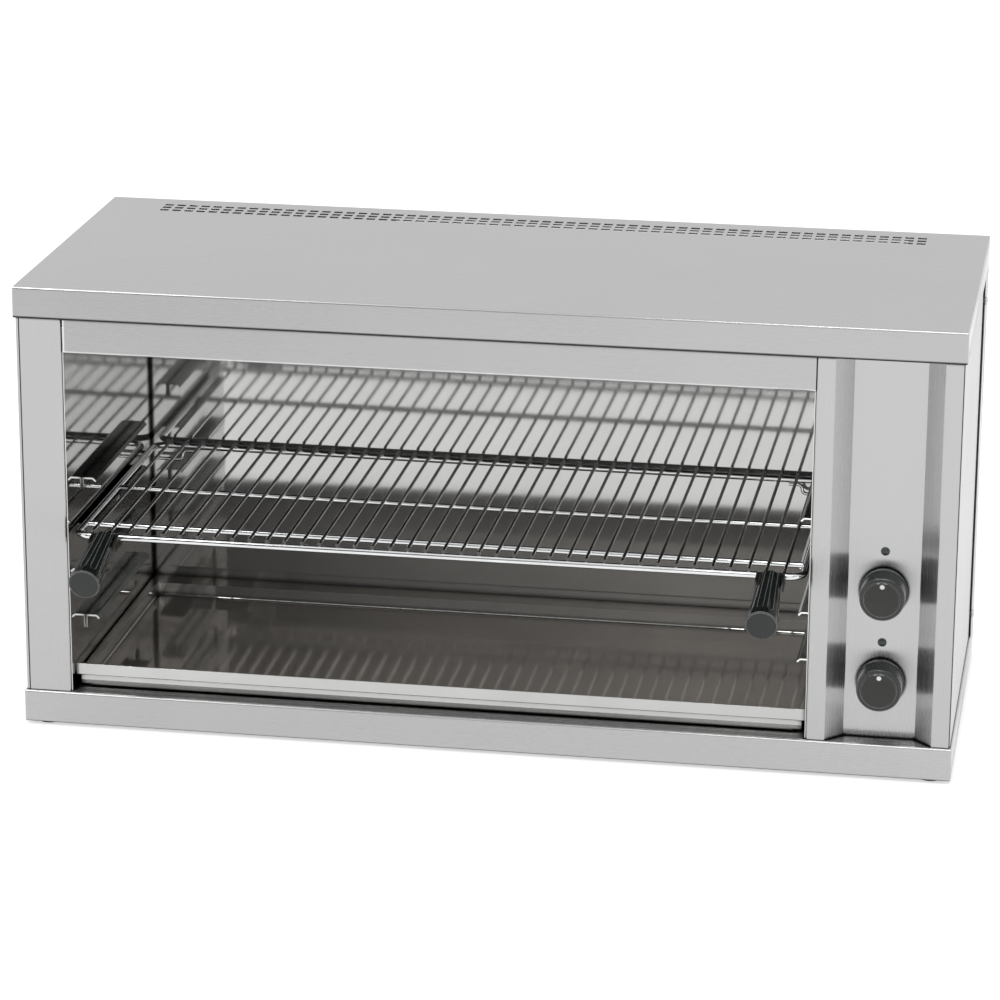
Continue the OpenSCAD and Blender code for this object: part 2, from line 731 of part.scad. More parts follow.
// Lamp holder behind the panel, round the lens's stem, with two solder tags
module lamp_body(z) color(bakelite)
    translate([column_mid, recess_y + sheet + seat, z + lamp_rise]) difference() {
        union() {
            rod_y(lens_dia + 4, 0, lamp_len);
            for (x = [-2, 2]) box([x - tag_t / 2, lamp_len - past, -1.5], [x + tag_t / 2, lamp_len + 6, 1.5]);
        }
        rod_y(lens_dia + 2 * seat, -past, lens_stem + seat);
    }

// Three-pole terminal block on the base, behind the control column
module terminal_block() color(ceramic) translate([column_mid, back_y - sheet - 34, skin_z0]) difference() {
    union() {
        soft_box(62, 24, 10, 1, 1, 2);
        for (x = [-16, 0, 16]) translate([x, 0, 0]) soft_box(12, 18, 20, 1, 1.5, 1.5);
    }
    for (x = [-16, 0, 16]) translate([x, 0, 0]) {
        translate([0, 0, 13]) rod_y(4, -13, 13);
        translate([0, 0, 12]) cylinder(d = 5, h = 10);
    }
    for (x = [-26, 26]) translate([x, 0, -past]) cylinder(d = 4.2, h = 12);
}

module cable_gland() color(bakelite) translate([column_mid, back_y, gland_z]) difference() {
    union() {
        rod_y(gland_dia, -sheet - gland_thread, past);
        translate([0, seat, 0]) rotate([-90, 0, 0]) cylinder(d = gland_hex, h = gland_hex_h, $fn = 6);
        translate([0, seat + gland_hex_h, 0]) rotate([-90, 0, 0])
            cylinder(d1 = gland_hex * 0.85, d2 = gland_bore_r * 2 + 3, h = gland_cone_h);
    }
    rod_y(2 * gland_bore_r, -sheet - gland_thread - past, gland_out + past);
}

module gland_nut() color(bakelite) translate([column_mid, back_y - sheet - seat, gland_z]) difference() {
    rotate([90, 0, 0]) cylinder(d = gland_hex, h = gland_hex_h, $fn = 6);
    rod_y(gland_dia + seat, -gland_hex_h - past, past);
}

// ---------- Shelf ----------

// Closed loop of round wire with rounded corners, centred in the frame's height
module shelf_frame() color(wire_steel) translate([0, 0, frame_z]) {
    r = frame_corner_r;
    for (y = [shelf_y0, shelf_y1]) translate([0, y, 0]) rod_x(frame_wire, frame_x0 + r, frame_x1 - r);
    for (x = [frame_x0, frame_x1]) translate([x, 0, 0]) rod_y(frame_wire, shelf_y0 + r, shelf_y1 - r);
    for (c = [[frame_x0 + r, shelf_y0 + r, 180], [frame_x1 - r, shelf_y0 + r, 270],
              [frame_x1 - r, shelf_y1 - r, 0], [frame_x0 + r, shelf_y1 - r, 90]])
        translate([c[0], c[1], 0]) rotate([0, 0, c[2]]) rotate_extrude(angle = 90)
            translate([r, 0]) circle(d = frame_wire);
}

module shelf_cross_wires() color(wire_steel)
    for (d = cross_places) translate([0, shelf_y0 + d, cross_z])
        rod_x(cross_wire, frame_x0 + frame_wire / 2 + weld_gap, frame_x1 - frame_wire / 2 - weld_gap);

module shelf_deck_wires() color(wire_steel)
    for (i = [1 : deck_count]) translate([frame_x0 + i * deck_pitch, 0, deck_z])
        rod_y(deck_wire, shelf_y0 - frame_wire / 4, shelf_y1 + frame_wire / 4);

// Wire under the frame's rear that steps down and runs out below the left ledge
module tilt_hook()
    translate([inner_x0, shelf_y1, frame_z - frame_wire / 2 - weld_gap - deck_wire / 2])
        rotate([90, 0, 0]) {
            rod_x(deck_wire, hook_inset, hook_inset + weld_run);
            for (c = [[hook_inset, 90], [hook_inset - 2 * hook_bend_r, 270]])
                translate([c[0], -hook_bend_r, 0]) rotate([0, 0, c[1]]) rotate_extrude(angle = 90)
                    translate([hook_bend_r, 0]) circle(d = deck_wire);
            translate([0, -2 * hook_bend_r, 0])
                rod_x(deck_wire, shelf_side_gap + deck_wire / 2, hook_inset - 2 * hook_bend_r);
        }

module shelf_tilt_hooks() color(wire_steel) {
    tilt_hook();
    right_side() tilt_hook();
}

// Places its child at a grip's root, with z along the grip and y upwards across it
module on_grip(side) {
    translate([side < 0 ? frame_x0 + grip_inset : frame_x1 - grip_inset, shelf_y0, frame_z])
        rotate([90 + grip_droop, 0, 0]) translate([0, 0, grip_seat]) children();
}

// Tapered bakelite grip with flutes that run out before its outer end
module grip(side) color(bakelite) on_grip(side) difference() {
    taper = atan((grip_end_dia - grip_root_dia) / 2 / grip_len);
    rotate_extrude() polygon([
        [0, 0], [grip_root_dia / 2 - 1.5, 0], [grip_root_dia / 2, 1.5],
        [grip_end_dia / 2, grip_len - grip_chamfer],
        [grip_end_dia / 2 - grip_chamfer, grip_len], [0, grip_len]]);
    for (i = [0 : flute_count - 1]) rotate([0, 0, (i + 0.5) * 360 / flute_count])
        translate([grip_root_dia / 2 + flute_r - flute_depth, 0, 0]) rotate([0, taper, 0]) {
            translate([0, 0, -5]) cylinder(r = flute_r, h = grip_len - flute_end + 5);
            translate([0, 0, grip_len - flute_end]) sphere(r = flute_r);
        }
    translate([0, 0, -past]) cylinder(d = stud_dia + 2 * weld_gap, h = stud_len + 2 * past);
}

// Steel bracket welded to the front wire, whose arms hold the grip's root
module grip_bracket(side) color(wire_steel) on_grip(side) difference() {
    union() {
        box([-bracket_in - bracket_t, -bracket_h / 2, -weld_gap - bracket_t],
            [bracket_in + bracket_t, bracket_h / 2, -weld_gap]);
        for (s = [-1, 1]) translate([s * (bracket_in + bracket_t / 2), 0, 0])
            box([-bracket_t / 2, -bracket_h / 2, -weld_gap - bracket_t],
                [bracket_t / 2, bracket_h / 2, bracket_arm]);
    }
    translate([0, 0, -bracket_t - past]) cylinder(d = stud_dia + 2 * weld_gap, h = bracket_t + 2 * past);
}

module grip_stud(side) color(wire_steel) on_grip(side)
    translate([0, 0, -bracket_t - weld_gap]) cylinder(d = stud_dia, h = stud_len + bracket_t);

// ---------- Crumb tray ----------

module crumb_tray() color(polished) {
    hollow_w = tray_x1 - tray_x0 - 2 * tray_side_rim;
    hollow_y0 = tray_y0 + tray_front_rim;
    hollow_d = tray_y1 - tray_rear_rim - hollow_y0;
    hollow_mid = [inner_mid, hollow_y0 + hollow_d / 2];
    difference() {
        union() {
            translate([hollow_mid[0], hollow_mid[1], tray_z])
                soft_box(hollow_w + 2 * tray_t, hollow_d + 2 * tray_t, tray_wall_h - tray_t / 2,
                         tray_fold_r + tray_t, 0.1, tray_corner_r + tray_t);
            along_x(tray_x0, tray_x1) folded([
                [tray_y1, tray_rim_z - tray_t], [tray_y0, tray_rim_z - tray_t],
                [tray_y0, tray_rim_z + tray_lip_h]], tray_t, tray_t + 0.4);
            box([tray_x0 + tray_wing_gap, hollow_y0 - tray_t, tray_z + tray_fold_r + tray_t],
                [tray_x1 - tray_wing_gap, hollow_y0, tray_rim_z - tray_t / 2]);
        }
        translate([hollow_mid[0], hollow_mid[1], tray_z + tray_t])
            soft_box(hollow_w, hollow_d, tray_wall_h + past + tray_fold_r, tray_fold_r, 0.1, tray_corner_r);
    }
}

// ---------- Nodes ----------

base_pan();
foot(-1, -1);  // foot_front_left
foot(1, -1);  // foot_front_right
foot(-1, 1);  // foot_rear_left
foot(1, 1);  // foot_rear_right
top_cover();
rear_cover();
left_side_panel();
right_side_panel();
top_fascia();
control_panel();
chamber_left_wall();
chamber_right_wall();
chamber_back_wall();
chamber_ceiling();
insulation_mat();
runner(1);  // runner_left_1
runner(2);  // runner_left_2
runner(3);  // runner_left_3
runner(4);  // runner_left_4
right_side() runner(1);  // runner_right_1
right_side() runner(2);  // runner_right_2
right_side() runner(3);  // runner_right_3
right_side() runner(4);  // runner_right_4
element(0);  // front_element
element(legs);  // rear_element
element_bushes();
element_hanger(inner_x0 + hanger_inset);  // element_hanger_left
element_hanger(inner_mid);  // element_hanger_middle
element_hanger(inner_x1 - hanger_inset);  // element_hanger_right
regulator(upper_knob_z);  // upper_regulator
regulator(lower_knob_z);  // lower_regulator
regulator_screws();
lamp_lens(upper_knob_z);  // upper_lamp_lens
lamp_lens(lower_knob_z);  // lower_lamp_lens
lamp_body(upper_knob_z);  // upper_lamp_body
lamp_body(lower_knob_z);  // lower_lamp_body
terminal_block();
cable_gland();
gland_nut();
casing_screws();
shelf_frame();
shelf_cross_wires();
shelf_deck_wires();
shelf_tilt_hooks();
grip(-1);  // left_grip
grip(1);  // right_grip
grip_bracket(-1);  // left_grip_bracket
grip_bracket(1);  // right_grip_bracket
grip_stud(-1);  // left_grip_stud
grip_stud(1);  // right_grip_stud
crumb_tray();
knob(upper_knob_z);  // upper_knob
knob_cap(upper_knob_z);  // upper_knob_cap
knob_dot(upper_knob_z);  // upper_knob_dot
shaft(upper_knob_z);  // upper_shaft
knob(lower_knob_z);  // lower_knob
knob_cap(lower_knob_z);  // lower_knob_cap
knob_dot(lower_knob_z);  // lower_knob_dot
shaft(lower_knob_z);  // lower_shaft
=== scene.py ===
import json
import math

import bpy
from mathutils import Matrix, Vector


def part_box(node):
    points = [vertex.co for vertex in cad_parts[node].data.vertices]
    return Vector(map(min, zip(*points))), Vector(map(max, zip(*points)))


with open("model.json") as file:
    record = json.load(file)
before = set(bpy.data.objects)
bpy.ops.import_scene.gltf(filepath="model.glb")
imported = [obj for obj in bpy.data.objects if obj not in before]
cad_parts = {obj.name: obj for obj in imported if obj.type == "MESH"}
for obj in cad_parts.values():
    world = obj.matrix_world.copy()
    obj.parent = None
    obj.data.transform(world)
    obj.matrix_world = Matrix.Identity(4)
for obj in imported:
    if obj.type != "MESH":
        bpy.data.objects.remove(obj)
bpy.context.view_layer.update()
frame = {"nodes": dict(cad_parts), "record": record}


# ---------- Camera: metres and degrees, with the lens and sensor in millimetres ----------

CAMERA_PLACE = (0.5365, -3.2371, 1.2278)
CAMERA_YAW = 9.518
CAMERA_PITCH = -17.642
CAMERA_ROLL = -0.316
CAMERA_LENS = 142.3
CAMERA_SENSOR = 36


def make_camera():
    """A long lens in front of the object and above it, a little to its right."""
    data = bpy.data.cameras.new("camera")
    data.lens = CAMERA_LENS
    data.sensor_width = CAMERA_SENSOR
    camera = bpy.data.objects.new("camera", data)
    bpy.context.scene.collection.objects.link(camera)
    turn = Matrix.Rotation(math.radians(CAMERA_YAW), 4, "Z")
    tilt = Matrix.Rotation(math.radians(90 + CAMERA_PITCH), 4, "X")
    roll = Matrix.Rotation(math.radians(-CAMERA_ROLL), 4, "Z")
    camera.matrix_world = Matrix.Translation(CAMERA_PLACE) @ turn @ tilt @ roll
    bpy.context.scene.camera = camera


# ---------- Colours ----------

CASING = (0.475, 0.478, 0.475)
# the casing's steel, a little darker on the uprights: painted shade
UPRIGHT_SHADED = (0.455, 0.458, 0.455)
CHAMBER = (0.60, 0.60, 0.59)
TRAY = (0.58, 0.58, 0.57)
# grease on level steel, darkened further as painted shade for the dark chamber it mirrors
TRAY_STAIN_AND_SHADE = (0.33, 0.30, 0.27)
# the runners' steel, darkened as painted shade for the dark it mirrors
RUNNER_SHADED = (0.20, 0.21, 0.20)
# pale metal for edge lines and front faces: painted highlights
EDGE_HIGHLIGHT = (0.85, 0.85, 0.85)
# dark joints take this colour, and so does the painted shade in seams, hollows and corners and under the top
# band
SEAM_DIRT_AND_SHADE = (0.03, 0.029, 0.027)
# heat scorch, darkened further as painted shade on the chamber ceiling
SCORCHED_AND_SHADED = (0.045, 0.040, 0.036)
SHEATH = (0.07, 0.065, 0.06)
TEMPER_BROWN = (0.10, 0.075, 0.06)
TEMPER_BLUE = (0.09, 0.10, 0.12)
WIRE = (0.76, 0.77, 0.77)
SCREW = (0.60, 0.60, 0.60)
BRASS = (0.60, 0.43, 0.18)
CERAMIC = (0.76, 0.74, 0.68)
WOOL = (0.55, 0.49, 0.30)
RUBBER = (0.022, 0.022, 0.022)
BAKELITE = (0.010, 0.014, 0.012)
KNOB = (0.009, 0.010, 0.006)
BLACK_PLASTIC = (0.018, 0.018, 0.018)
LENS = (0.035, 0.045, 0.040)
INDEX_WHITE = (0.80, 0.80, 0.78)


def shade(color, factor):
    return tuple(channel * factor for channel in color)


# ---------- Node materials ----------

NOISE_LOW = 0.3             # nearly all of a noise lies between these
NOISE_HIGH = 0.7
TURNED = 0.7                # a face looks along an axis where its normal reaches this far along it
LEVEL = 0.9                 # and it lies flat where its normal reaches this far up
ON_EDGE = 0.80              # how well the rounded normal agrees with the face's own on an edge
OFF_EDGE = 0.995            # and beside it
LINE_CORE = 0.3             # a line is full out to this share of its width from its middle
LINE_END = 0.7              # and gone from this share on
BEVEL_SAMPLES = 4
OPENNESS_SAMPLES = 16
MIX_COLOR_A = 6             # the Mix node's colour sockets, whose names its other sockets have too
MIX_COLOR_B = 7
MIX_COLOR_RESULT = 2


class Finish:
    """One material's node tree, with short names for the nodes that the finishes share."""

    def __init__(self, name, color, metallic=0.0, roughness=0.5):
        self.material = bpy.data.materials.new(name)
        self.material.use_nodes = True
        self.tree = self.material.node_tree
        self.shader = self.tree.nodes["Principled BSDF"]
        self.set("Base Color", (*color, 1))
        self.set("Metallic", metallic)
        self.set("Roughness", roughness)

    def set(self, socket, value):
        self.shader.inputs[socket].default_value = value

    def plug(self, output, socket):
        self.tree.links.new(output, self.shader.inputs[socket])

    def add(self, kind, inputs, **settings):
        """A node of that kind. An input is a number or colour, or another node's output."""
        node = self.tree.nodes.new(kind)
        for name, value in settings.items():
            setattr(node, name, value)
        for name, value in inputs.items():
            if isinstance(value, bpy.types.NodeSocket):
                self.tree.links.new(value, node.inputs[name])
            else:
                node.inputs[name].default_value = value
        return node

    def component(self, vector, axis):
        return self.add("ShaderNodeSeparateXYZ", {"Vector": vector}).outputs[axis]

    def position(self):
        """Where the surface is, in the object's own metres."""
        return self.add("ShaderNodeTexCoord", {}).outputs["Object"]

    def face_normal(self):
        return self.add("ShaderNodeNewGeometry", {}).outputs["Normal"]

    def facing(self, axis):
        """How far the surface faces along that axis, from -1 to 1."""
        return self.component(self.face_normal(), axis)

    def noise(self, scale, detail=3.0, rough=0.55, distortion=0.0):
        """Noise in object space. scale is cycles per metre, as one number or one each for X, Y and Z."""
        scales = scale if isinstance(scale, tuple) else (scale, scale, scale)
        placed = self.add("ShaderNodeMapping", {"Vector": self.position(), "Scale": scales})
        inputs = {"Vector": placed.outputs["Vector"], "Scale": 1.0, "Detail": detail,
                  "Roughness": rough, "Distortion": distortion}
        return self.add("ShaderNodeTexNoise", inputs).outputs["Fac"]

    def remap(self, value, low, high, start=NOISE_LOW, end=NOISE_HIGH):
        """Turns a value from start to end into one from low to high, and holds it there beyond them."""
        node = self.add("ShaderNodeMapRange", {"Value": value, "From Min": start, "From Max": end,
                                               "To Min": low, "To Max": high})
        return node.outputs["Result"]

    def math(self, operation, *values):
        return self.add("ShaderNodeMath", dict(enumerate(values)), operation=operation).outputs["Value"]

    def blend(self, factor, a, b):
        """A number from a to b."""
        node = self.add("ShaderNodeMix", {"Factor": factor, "A": a, "B": b}, data_type="FLOAT")
        return node.outputs["Result"]

    def tint(self, factor, a, b):
        """A colour from a to b."""
        inputs = {"Factor": factor}
        for socket, color in ((MIX_COLOR_A, a), (MIX_COLOR_B, b)):
            inputs[socket] = color if isinstance(color, bpy.types.NodeSocket) else (*color, 1)
        return self.add("ShaderNodeMix", inputs, data_type="RGBA").outputs[MIX_COLOR_RESULT]

    def mottle(self, noise, color, low, high, **span):
        """A colour that goes with the noise from one share of itself to another."""
        return self.tint(self.remap(noise, 0, 1, **span), shade(color, low), shade(color, high))

    def roughen(self, noise, roughness, low, high):
        """Roughness that goes with the noise from low off it to high off it."""
        self.plug(self.remap(noise, roughness + low, roughness + high), "Roughness")

    def edges(self, radius):
        """Rounds the edges in the shading. Returns that normal and a mask that is 1 on an edge."""
        soft = self.add("ShaderNodeBevel", {"Radius": radius}, samples=BEVEL_SAMPLES).outputs["Normal"]
        agree = self.add("ShaderNodeVectorMath", {0: soft, 1: self.face_normal()}, operation="DOT_PRODUCT")
        return soft, self.remap(agree.outputs["Value"], 1, 0, ON_EDGE, OFF_EDGE)

    def openness(self, distance, shut, clear):
        """1 in the open, and 0 down in a seam or a hollow that is narrow against distance."""
        node = self.add("ShaderNodeAmbientOcclusion", {"Distance": distance}, samples=OPENNESS_SAMPLES)
        return self.remap(node.outputs["AO"], 0, 1, shut, clear)

    def line(self, axis, place, width):
        """1 on a line that wide across the front, at that place along X or Z, and 0 beside it."""
        offset = self.math("SUBTRACT", self.component(self.position(), axis), place)
        across = self.remap(self.math("ABSOLUTE", offset), 1, 0, width * LINE_CORE, width * LINE_END)
        on_front = self.math("LESS_THAN", self.facing("Y"), -TURNED)
        return self.math("MULTIPLY", across, on_front)

    def brush(self, along, strength):
        """Brushing lines along X or Z, which smear a reflection across them."""
        self.set("Anisotropic", strength)
        tangent = self.add("ShaderNodeTangent", {}, direction_type="RADIAL", axis=along)
        self.plug(tangent.outputs["Tangent"], "Tangent")

    def bump(self, height, distance, normal=None):
        """distance is the height in metres of a bump of 1."""
        inputs = {"Height": height, "Distance": distance}
        if normal is not None:
            inputs["Normal"] = normal
        self.plug(self.add("ShaderNodeBump", inputs).outputs["Normal"], "Normal")


# ---------- Steel ----------

# Tones are shares of a finish's colour. Pairs of tones or roughnesses go from low noise to high.

SATIN = 0.26                # roughness of the brushed sheet
SATIN_SMEAR = 0.9           # how far its brushing lines smear a reflection
GRAIN_FINE = 1400           # brushing lines per metre across them
GRAIN_LONG = 9              # and changes per metre along one
GRAIN_TONES = (0.975, 1.02)
GRAIN_ROUGHNESS = (-0.03, 0.03)
GRAIN_HEIGHT = 0.000006
MARK_ROUGHNESS = (-0.015, 0.02)     # these two are added to the sheet's
FOLD_RADIUS = 0.0003        # how far its folds are rounded in the shading
WORN_HIGHLIGHT_TONE = 1.05            # a worn fold's tone, partly a painted highlight, and its share of the roughness
WORN_ROUGHNESS = 0.8
SEAM_SHADE = (0.005, 0.66, 0.82)  # painted shade in a seam: how far it looks round, and the openness from full to none
# painted shade down in hollows such as vent slots, in the same terms
HOLLOW_SHADE = (0.12, 0.12, 0.42)

SPOT_TONES = (1, 0.9)       # polished sheet has dull spots, and its grease stain with painted shade has darker ones
STAIN_TONES = (1.25, 1)
CUT_RADIUS = 0.0004         # its sheet edges are rounded in the shading, and brighter as a painted highlight
CUT_HIGHLIGHT_TONE = 1.2
# painted shade in corners: how far it looks round, and the openness from full to none
CORNER_SHADE = (0.010, 0.50, 0.74)
CORNER_JOINT_WIDTH = 0.0050
SHEET_WAVE_HEIGHT = 0.0002
DULLED_BY_BRUSHING = 0.3    # how much less metallic a fully brushed polished sheet looks


def grain(finish, along):
    """Brushing lines along X or Z. Lines along X run on along Z on the ends that a fold turns sideways."""
    scales = {"X": (GRAIN_LONG, GRAIN_FINE, GRAIN_FINE), "Z": (GRAIN_FINE, GRAIN_FINE, GRAIN_LONG)}
    lines = finish.noise(scales[along], detail=4, rough=0.7)
    if along == "Z":
        return lines
    on_end = finish.math("GREATER_THAN", finish.math("ABSOLUTE", finish.facing("X")), TURNED)
    return finish.blend(on_end, lines, finish.noise(scales["Z"], detail=4, rough=0.7))


def brushed_steel(name, color, along, lines_across=()):
    """Satin steel sheet: brushing lines, faint handling marks, brighter worn folds that are partly a painted
    highlight, and painted shade in seams and hollows.

    lines_across are the lines that show on its front, each (axis, place, width, colour): dark joints, a
    painted shade line under the top band and painted highlights along edges.
    """
    finish = Finish(name, color, metallic=1.0, roughness=SATIN)
    finish.brush(along, SATIN_SMEAR)
    lines = grain(finish, along)
    marks = finish.noise(7, detail=5, rough=0.6, distortion=0.6)
    normal, edge = finish.edges(FOLD_RADIUS)
    tone = finish.mottle(lines, color, *GRAIN_TONES)
    # folds lighter: wear, and partly a painted highlight
    tone = finish.tint(edge, tone, shade(color, WORN_HIGHLIGHT_TONE))
    for axis, place, width, edge_color in lines_across:
        tone = finish.tint(finish.line(axis, place, width), tone, edge_color)
    # painted shade in seams and hollows
    tone = finish.tint(finish.openness(*SEAM_SHADE), SEAM_DIRT_AND_SHADE, tone)
    tone = finish.tint(finish.openness(*HOLLOW_SHADE), SEAM_DIRT_AND_SHADE, tone)
    finish.plug(tone, "Base Color")
    change = finish.math("ADD", finish.remap(lines, *GRAIN_ROUGHNESS), finish.remap(marks, *MARK_ROUGHNESS))
    rough = finish.math("ADD", change, SATIN)
    finish.plug(finish.blend(edge, rough, SATIN * WORN_ROUGHNESS), "Roughness")
    finish.bump(lines, GRAIN_HEIGHT, normal=normal)
    return finish.material


def polished_steel(name, color, roughness, haze, stain_and_shade=None, brushed=0.0, corner=None, front_highlight=None):
    """Mirror-bright sheet with a haze of wiping marks, and painted shade in its corners.

    The colour given for what lies flat is a grease stain with painted shade, and the one given for its ends
    toward the front is a painted highlight.
    Brushed sheet has its lines along X, so that they smear a reflection across them.
    corner is where along X it meets a side wall, with a dark joint.
    """
    finish = Finish(name, color, metallic=1.0 - brushed * DULLED_BY_BRUSHING, roughness=roughness)
    if brushed:
        finish.brush("X", brushed)
    wipes = finish.noise((30, 30, 5), detail=4, rough=0.6, distortion=1.2)
    spots = finish.noise(11, detail=6, rough=0.65)
    waves = finish.noise(5, detail=1, rough=0.4)
    normal, edge = finish.edges(CUT_RADIUS)
    tone = finish.mottle(spots, color, *SPOT_TONES, start=0.35, end=0.75)
    # grease stain and painted shade on what lies flat
    if stain_and_shade:
        stained_and_shaded = finish.mottle(spots, stain_and_shade, *STAIN_TONES)
        tone = finish.tint(finish.math("GREATER_THAN", finish.facing("Z"), LEVEL), tone, stained_and_shaded)
    # ends toward the front lightened: a painted highlight
    if front_highlight:
        tone = finish.tint(finish.math("LESS_THAN", finish.facing("Y"), -TURNED), tone, front_highlight)
    if corner is not None:
        tone = finish.tint(finish.line("X", corner, CORNER_JOINT_WIDTH), tone, SEAM_DIRT_AND_SHADE)
    # painted shade in corners and recesses
    tone = finish.tint(finish.openness(*CORNER_SHADE), SEAM_DIRT_AND_SHADE, tone)
    # edges lightened: a painted highlight
    finish.plug(finish.tint(edge, tone, shade(color, CUT_HIGHLIGHT_TONE)), "Base Color")
    finish.plug(finish.math("ADD", finish.remap(wipes, 0, haze), roughness), "Roughness")
    finish.bump(waves, SHEET_WAVE_HEIGHT, normal=normal)
    return finish.material


# ---------- Wire, tube, plastic and solid ----------

DULL_TONES = (0.86, 1)      # dull and bright stretches of a wire
DULL_ROUGHNESS = (0.05, -0.02)      # added to the wire's
DRAWN_HEIGHT = 0.000006
SHADE_TOP = (0.15, 0.50)   # how far up a face looks where the painted shade starts and where it is full
SHADE_FRONT = (0.7, 0.9)   # and the same toward the front

TEMPER_SPAN = (0.4, 0.6)    # the noise from brown to blue
SCALE_ROUGHNESS = (0.42, 0.62)      # the oxide's own
SCALE_HEIGHT = 0.00005

COAT_ROUGHNESS = 0.08
PLAIN_SPECULAR = 0.5        # the shine of plastic without a coat
SKIN_TONES = (0.8, 1.3)
SKIN_ROUGHNESS = (-0.04, 0.08)

GRAINS_PER_PATCH = 9        # in a line across a patch
PATCH_TONE = 0.85
PATCH_SPAN = (0, 0.5)       # how much of a patch's tone shows
BODY_ROUGHNESS = (-0.08, 0.05)


def bright_wire(name, color, roughness, wire_shade=None):
    """Plated wire with a slightly uneven, fine-drawn surface. Painted shade darkens its top and its front
    ends.
    """
    finish = Finish(name, color, metallic=1.0, roughness=roughness)
    drawn = finish.noise(300, detail=3, rough=0.6)
    dull = finish.noise(18, detail=4, rough=0.6)
    tone = finish.mottle(dull, color, *DULL_TONES)
    # painted shade on the top and the front ends of a wire
    if wire_shade:
        toward_front = finish.math("MULTIPLY", finish.facing("Y"), -1)
        shaded_part = finish.math("MAXIMUM", finish.remap(finish.facing("Z"), 0, 1, *SHADE_TOP),
                          finish.remap(toward_front, 0, 1, *SHADE_FRONT))
        tone = finish.tint(shaded_part, tone, wire_shade)
    finish.plug(tone, "Base Color")
    finish.roughen(dull, roughness, *DULL_ROUGHNESS)
    finish.bump(drawn, DRAWN_HEIGHT)
    return finish.material


def oxidised_sheath(name, color):
    """Heating tube or scorched steel: dark oxide with brown and blue temper colours along it."""
    finish = Finish(name, color, metallic=0.85, roughness=0.5)
    bands = finish.noise((14, 40, 40), detail=4, rough=0.6)
    scale = finish.noise(400, detail=3)
    temper = finish.tint(finish.remap(bands, 0, 1, *TEMPER_SPAN), TEMPER_BROWN, TEMPER_BLUE)
    finish.plug(finish.tint(finish.remap(scale, 0, 1), temper, color), "Base Color")
    finish.plug(finish.remap(scale, *SCALE_ROUGHNESS), "Roughness")
    finish.bump(scale, SCALE_HEIGHT)
    return finish.material


def moulded_plastic(name, color, roughness, coat=0.0, grit=0.00002, rim_highlight=0.09, rim_width=0.0006):
    """Moulded plastic: a skin with a ripple that is grit high. A coat takes over the skin's own shine.

    Its edges are rim_width wide and carry a painted highlight, as light as the value given for it.
    """
    finish = Finish(name, color, roughness=roughness)
    finish.set("Coat Weight", coat)
    finish.set("Coat Roughness", COAT_ROUGHNESS)
    finish.set("Specular IOR Level", PLAIN_SPECULAR * (1 - coat))
    ripple = finish.noise(260, detail=4, rough=0.6)
    patches = finish.noise(45, detail=4, rough=0.6)
    normal, edge = finish.edges(rim_width)
    tone = finish.mottle(patches, color, *SKIN_TONES)
    # edges lightened: a painted highlight
    finish.plug(finish.tint(edge, tone, (rim_highlight, rim_highlight, rim_highlight)), "Base Color")
    finish.roughen(patches, roughness, *SKIN_ROUGHNESS)
    finish.bump(ripple, grit, normal=normal)
    return finish.material


def rough_solid(name, color, roughness, grains, height, contrast=0.15):
    """Wool, fired clay or rubber: a matte body with mottled colour and an uneven skin.

    It has that many grains per metre, which stand height above it, and larger patches.
    """
    finish = Finish(name, color, roughness=roughness)
    body = finish.noise(grains, detail=5, rough=0.65)
    patches = finish.noise(grains / GRAINS_PER_PATCH, detail=3)
    tone = finish.mottle(body, color, 1 - contrast, 1 + contrast)
    finish.plug(finish.tint(finish.remap(patches, *PATCH_SPAN), tone, shade(color, PATCH_TONE)), "Base Color")
    finish.roughen(body, roughness, *BODY_ROUGHNESS)
    finish.bump(body, height)
    return finish.material


# ---------- What each node wears ----------

SLOT_LOOKS = {
    "casing_steel": (brushed_steel, dict(color=CASING, along="X")),
    "chamber_steel": (polished_steel, dict(color=CHAMBER, roughness=0.03, haze=0.04)),
    "tray_steel": (polished_steel, dict(color=TRAY, roughness=0.035, haze=0.01, stain_and_shade=TRAY_STAIN_AND_SHADE,
                                        brushed=0.8)),
    # runners: steel darkened as painted shade, with painted highlights on their fronts
    "runner_steel": (polished_steel, dict(color=RUNNER_SHADED, roughness=0.07, haze=0.05, front_highlight=EDGE_HIGHLIGHT)),
    "wire_chrome": (bright_wire, dict(color=WIRE, roughness=0.05)),
    "screw_steel": (bright_wire, dict(color=SCREW, roughness=0.2)),
    "shaft_brass": (bright_wire, dict(color=BRASS, roughness=0.25)),
    "element_sheath": (oxidised_sheath, dict(color=SHEATH)),
    "white_ceramic": (rough_solid, dict(color=CERAMIC, roughness=0.5, grains=500, height=0.00004,
                                        contrast=0.06)),
    "mineral_wool": (rough_solid, dict(color=WOOL, roughness=0.95, grains=350, height=0.0015, contrast=0.3)),
    "foot_rubber": (rough_solid, dict(color=RUBBER, roughness=0.8, grains=900, height=0.00008)),
    # the rim values are painted highlights on the edges
    "bakelite": (moulded_plastic, dict(color=BAKELITE, roughness=0.10, rim_highlight=0.6, rim_width=0.0010)),
    "knob_grey": (moulded_plastic, dict(color=KNOB, roughness=0.22, coat=1.0, rim_highlight=0.3)),
    "black_plastic": (moulded_plastic, dict(color=BLACK_PLASTIC, roughness=0.45, grit=0.00004)),
    "lamp_lens": (moulded_plastic, dict(color=LENS, roughness=0.12, coat=0.8)),
    "index_white": (moulded_plastic, dict(color=INDEX_WHITE, roughness=0.4, rim_highlight=0.9)),
}
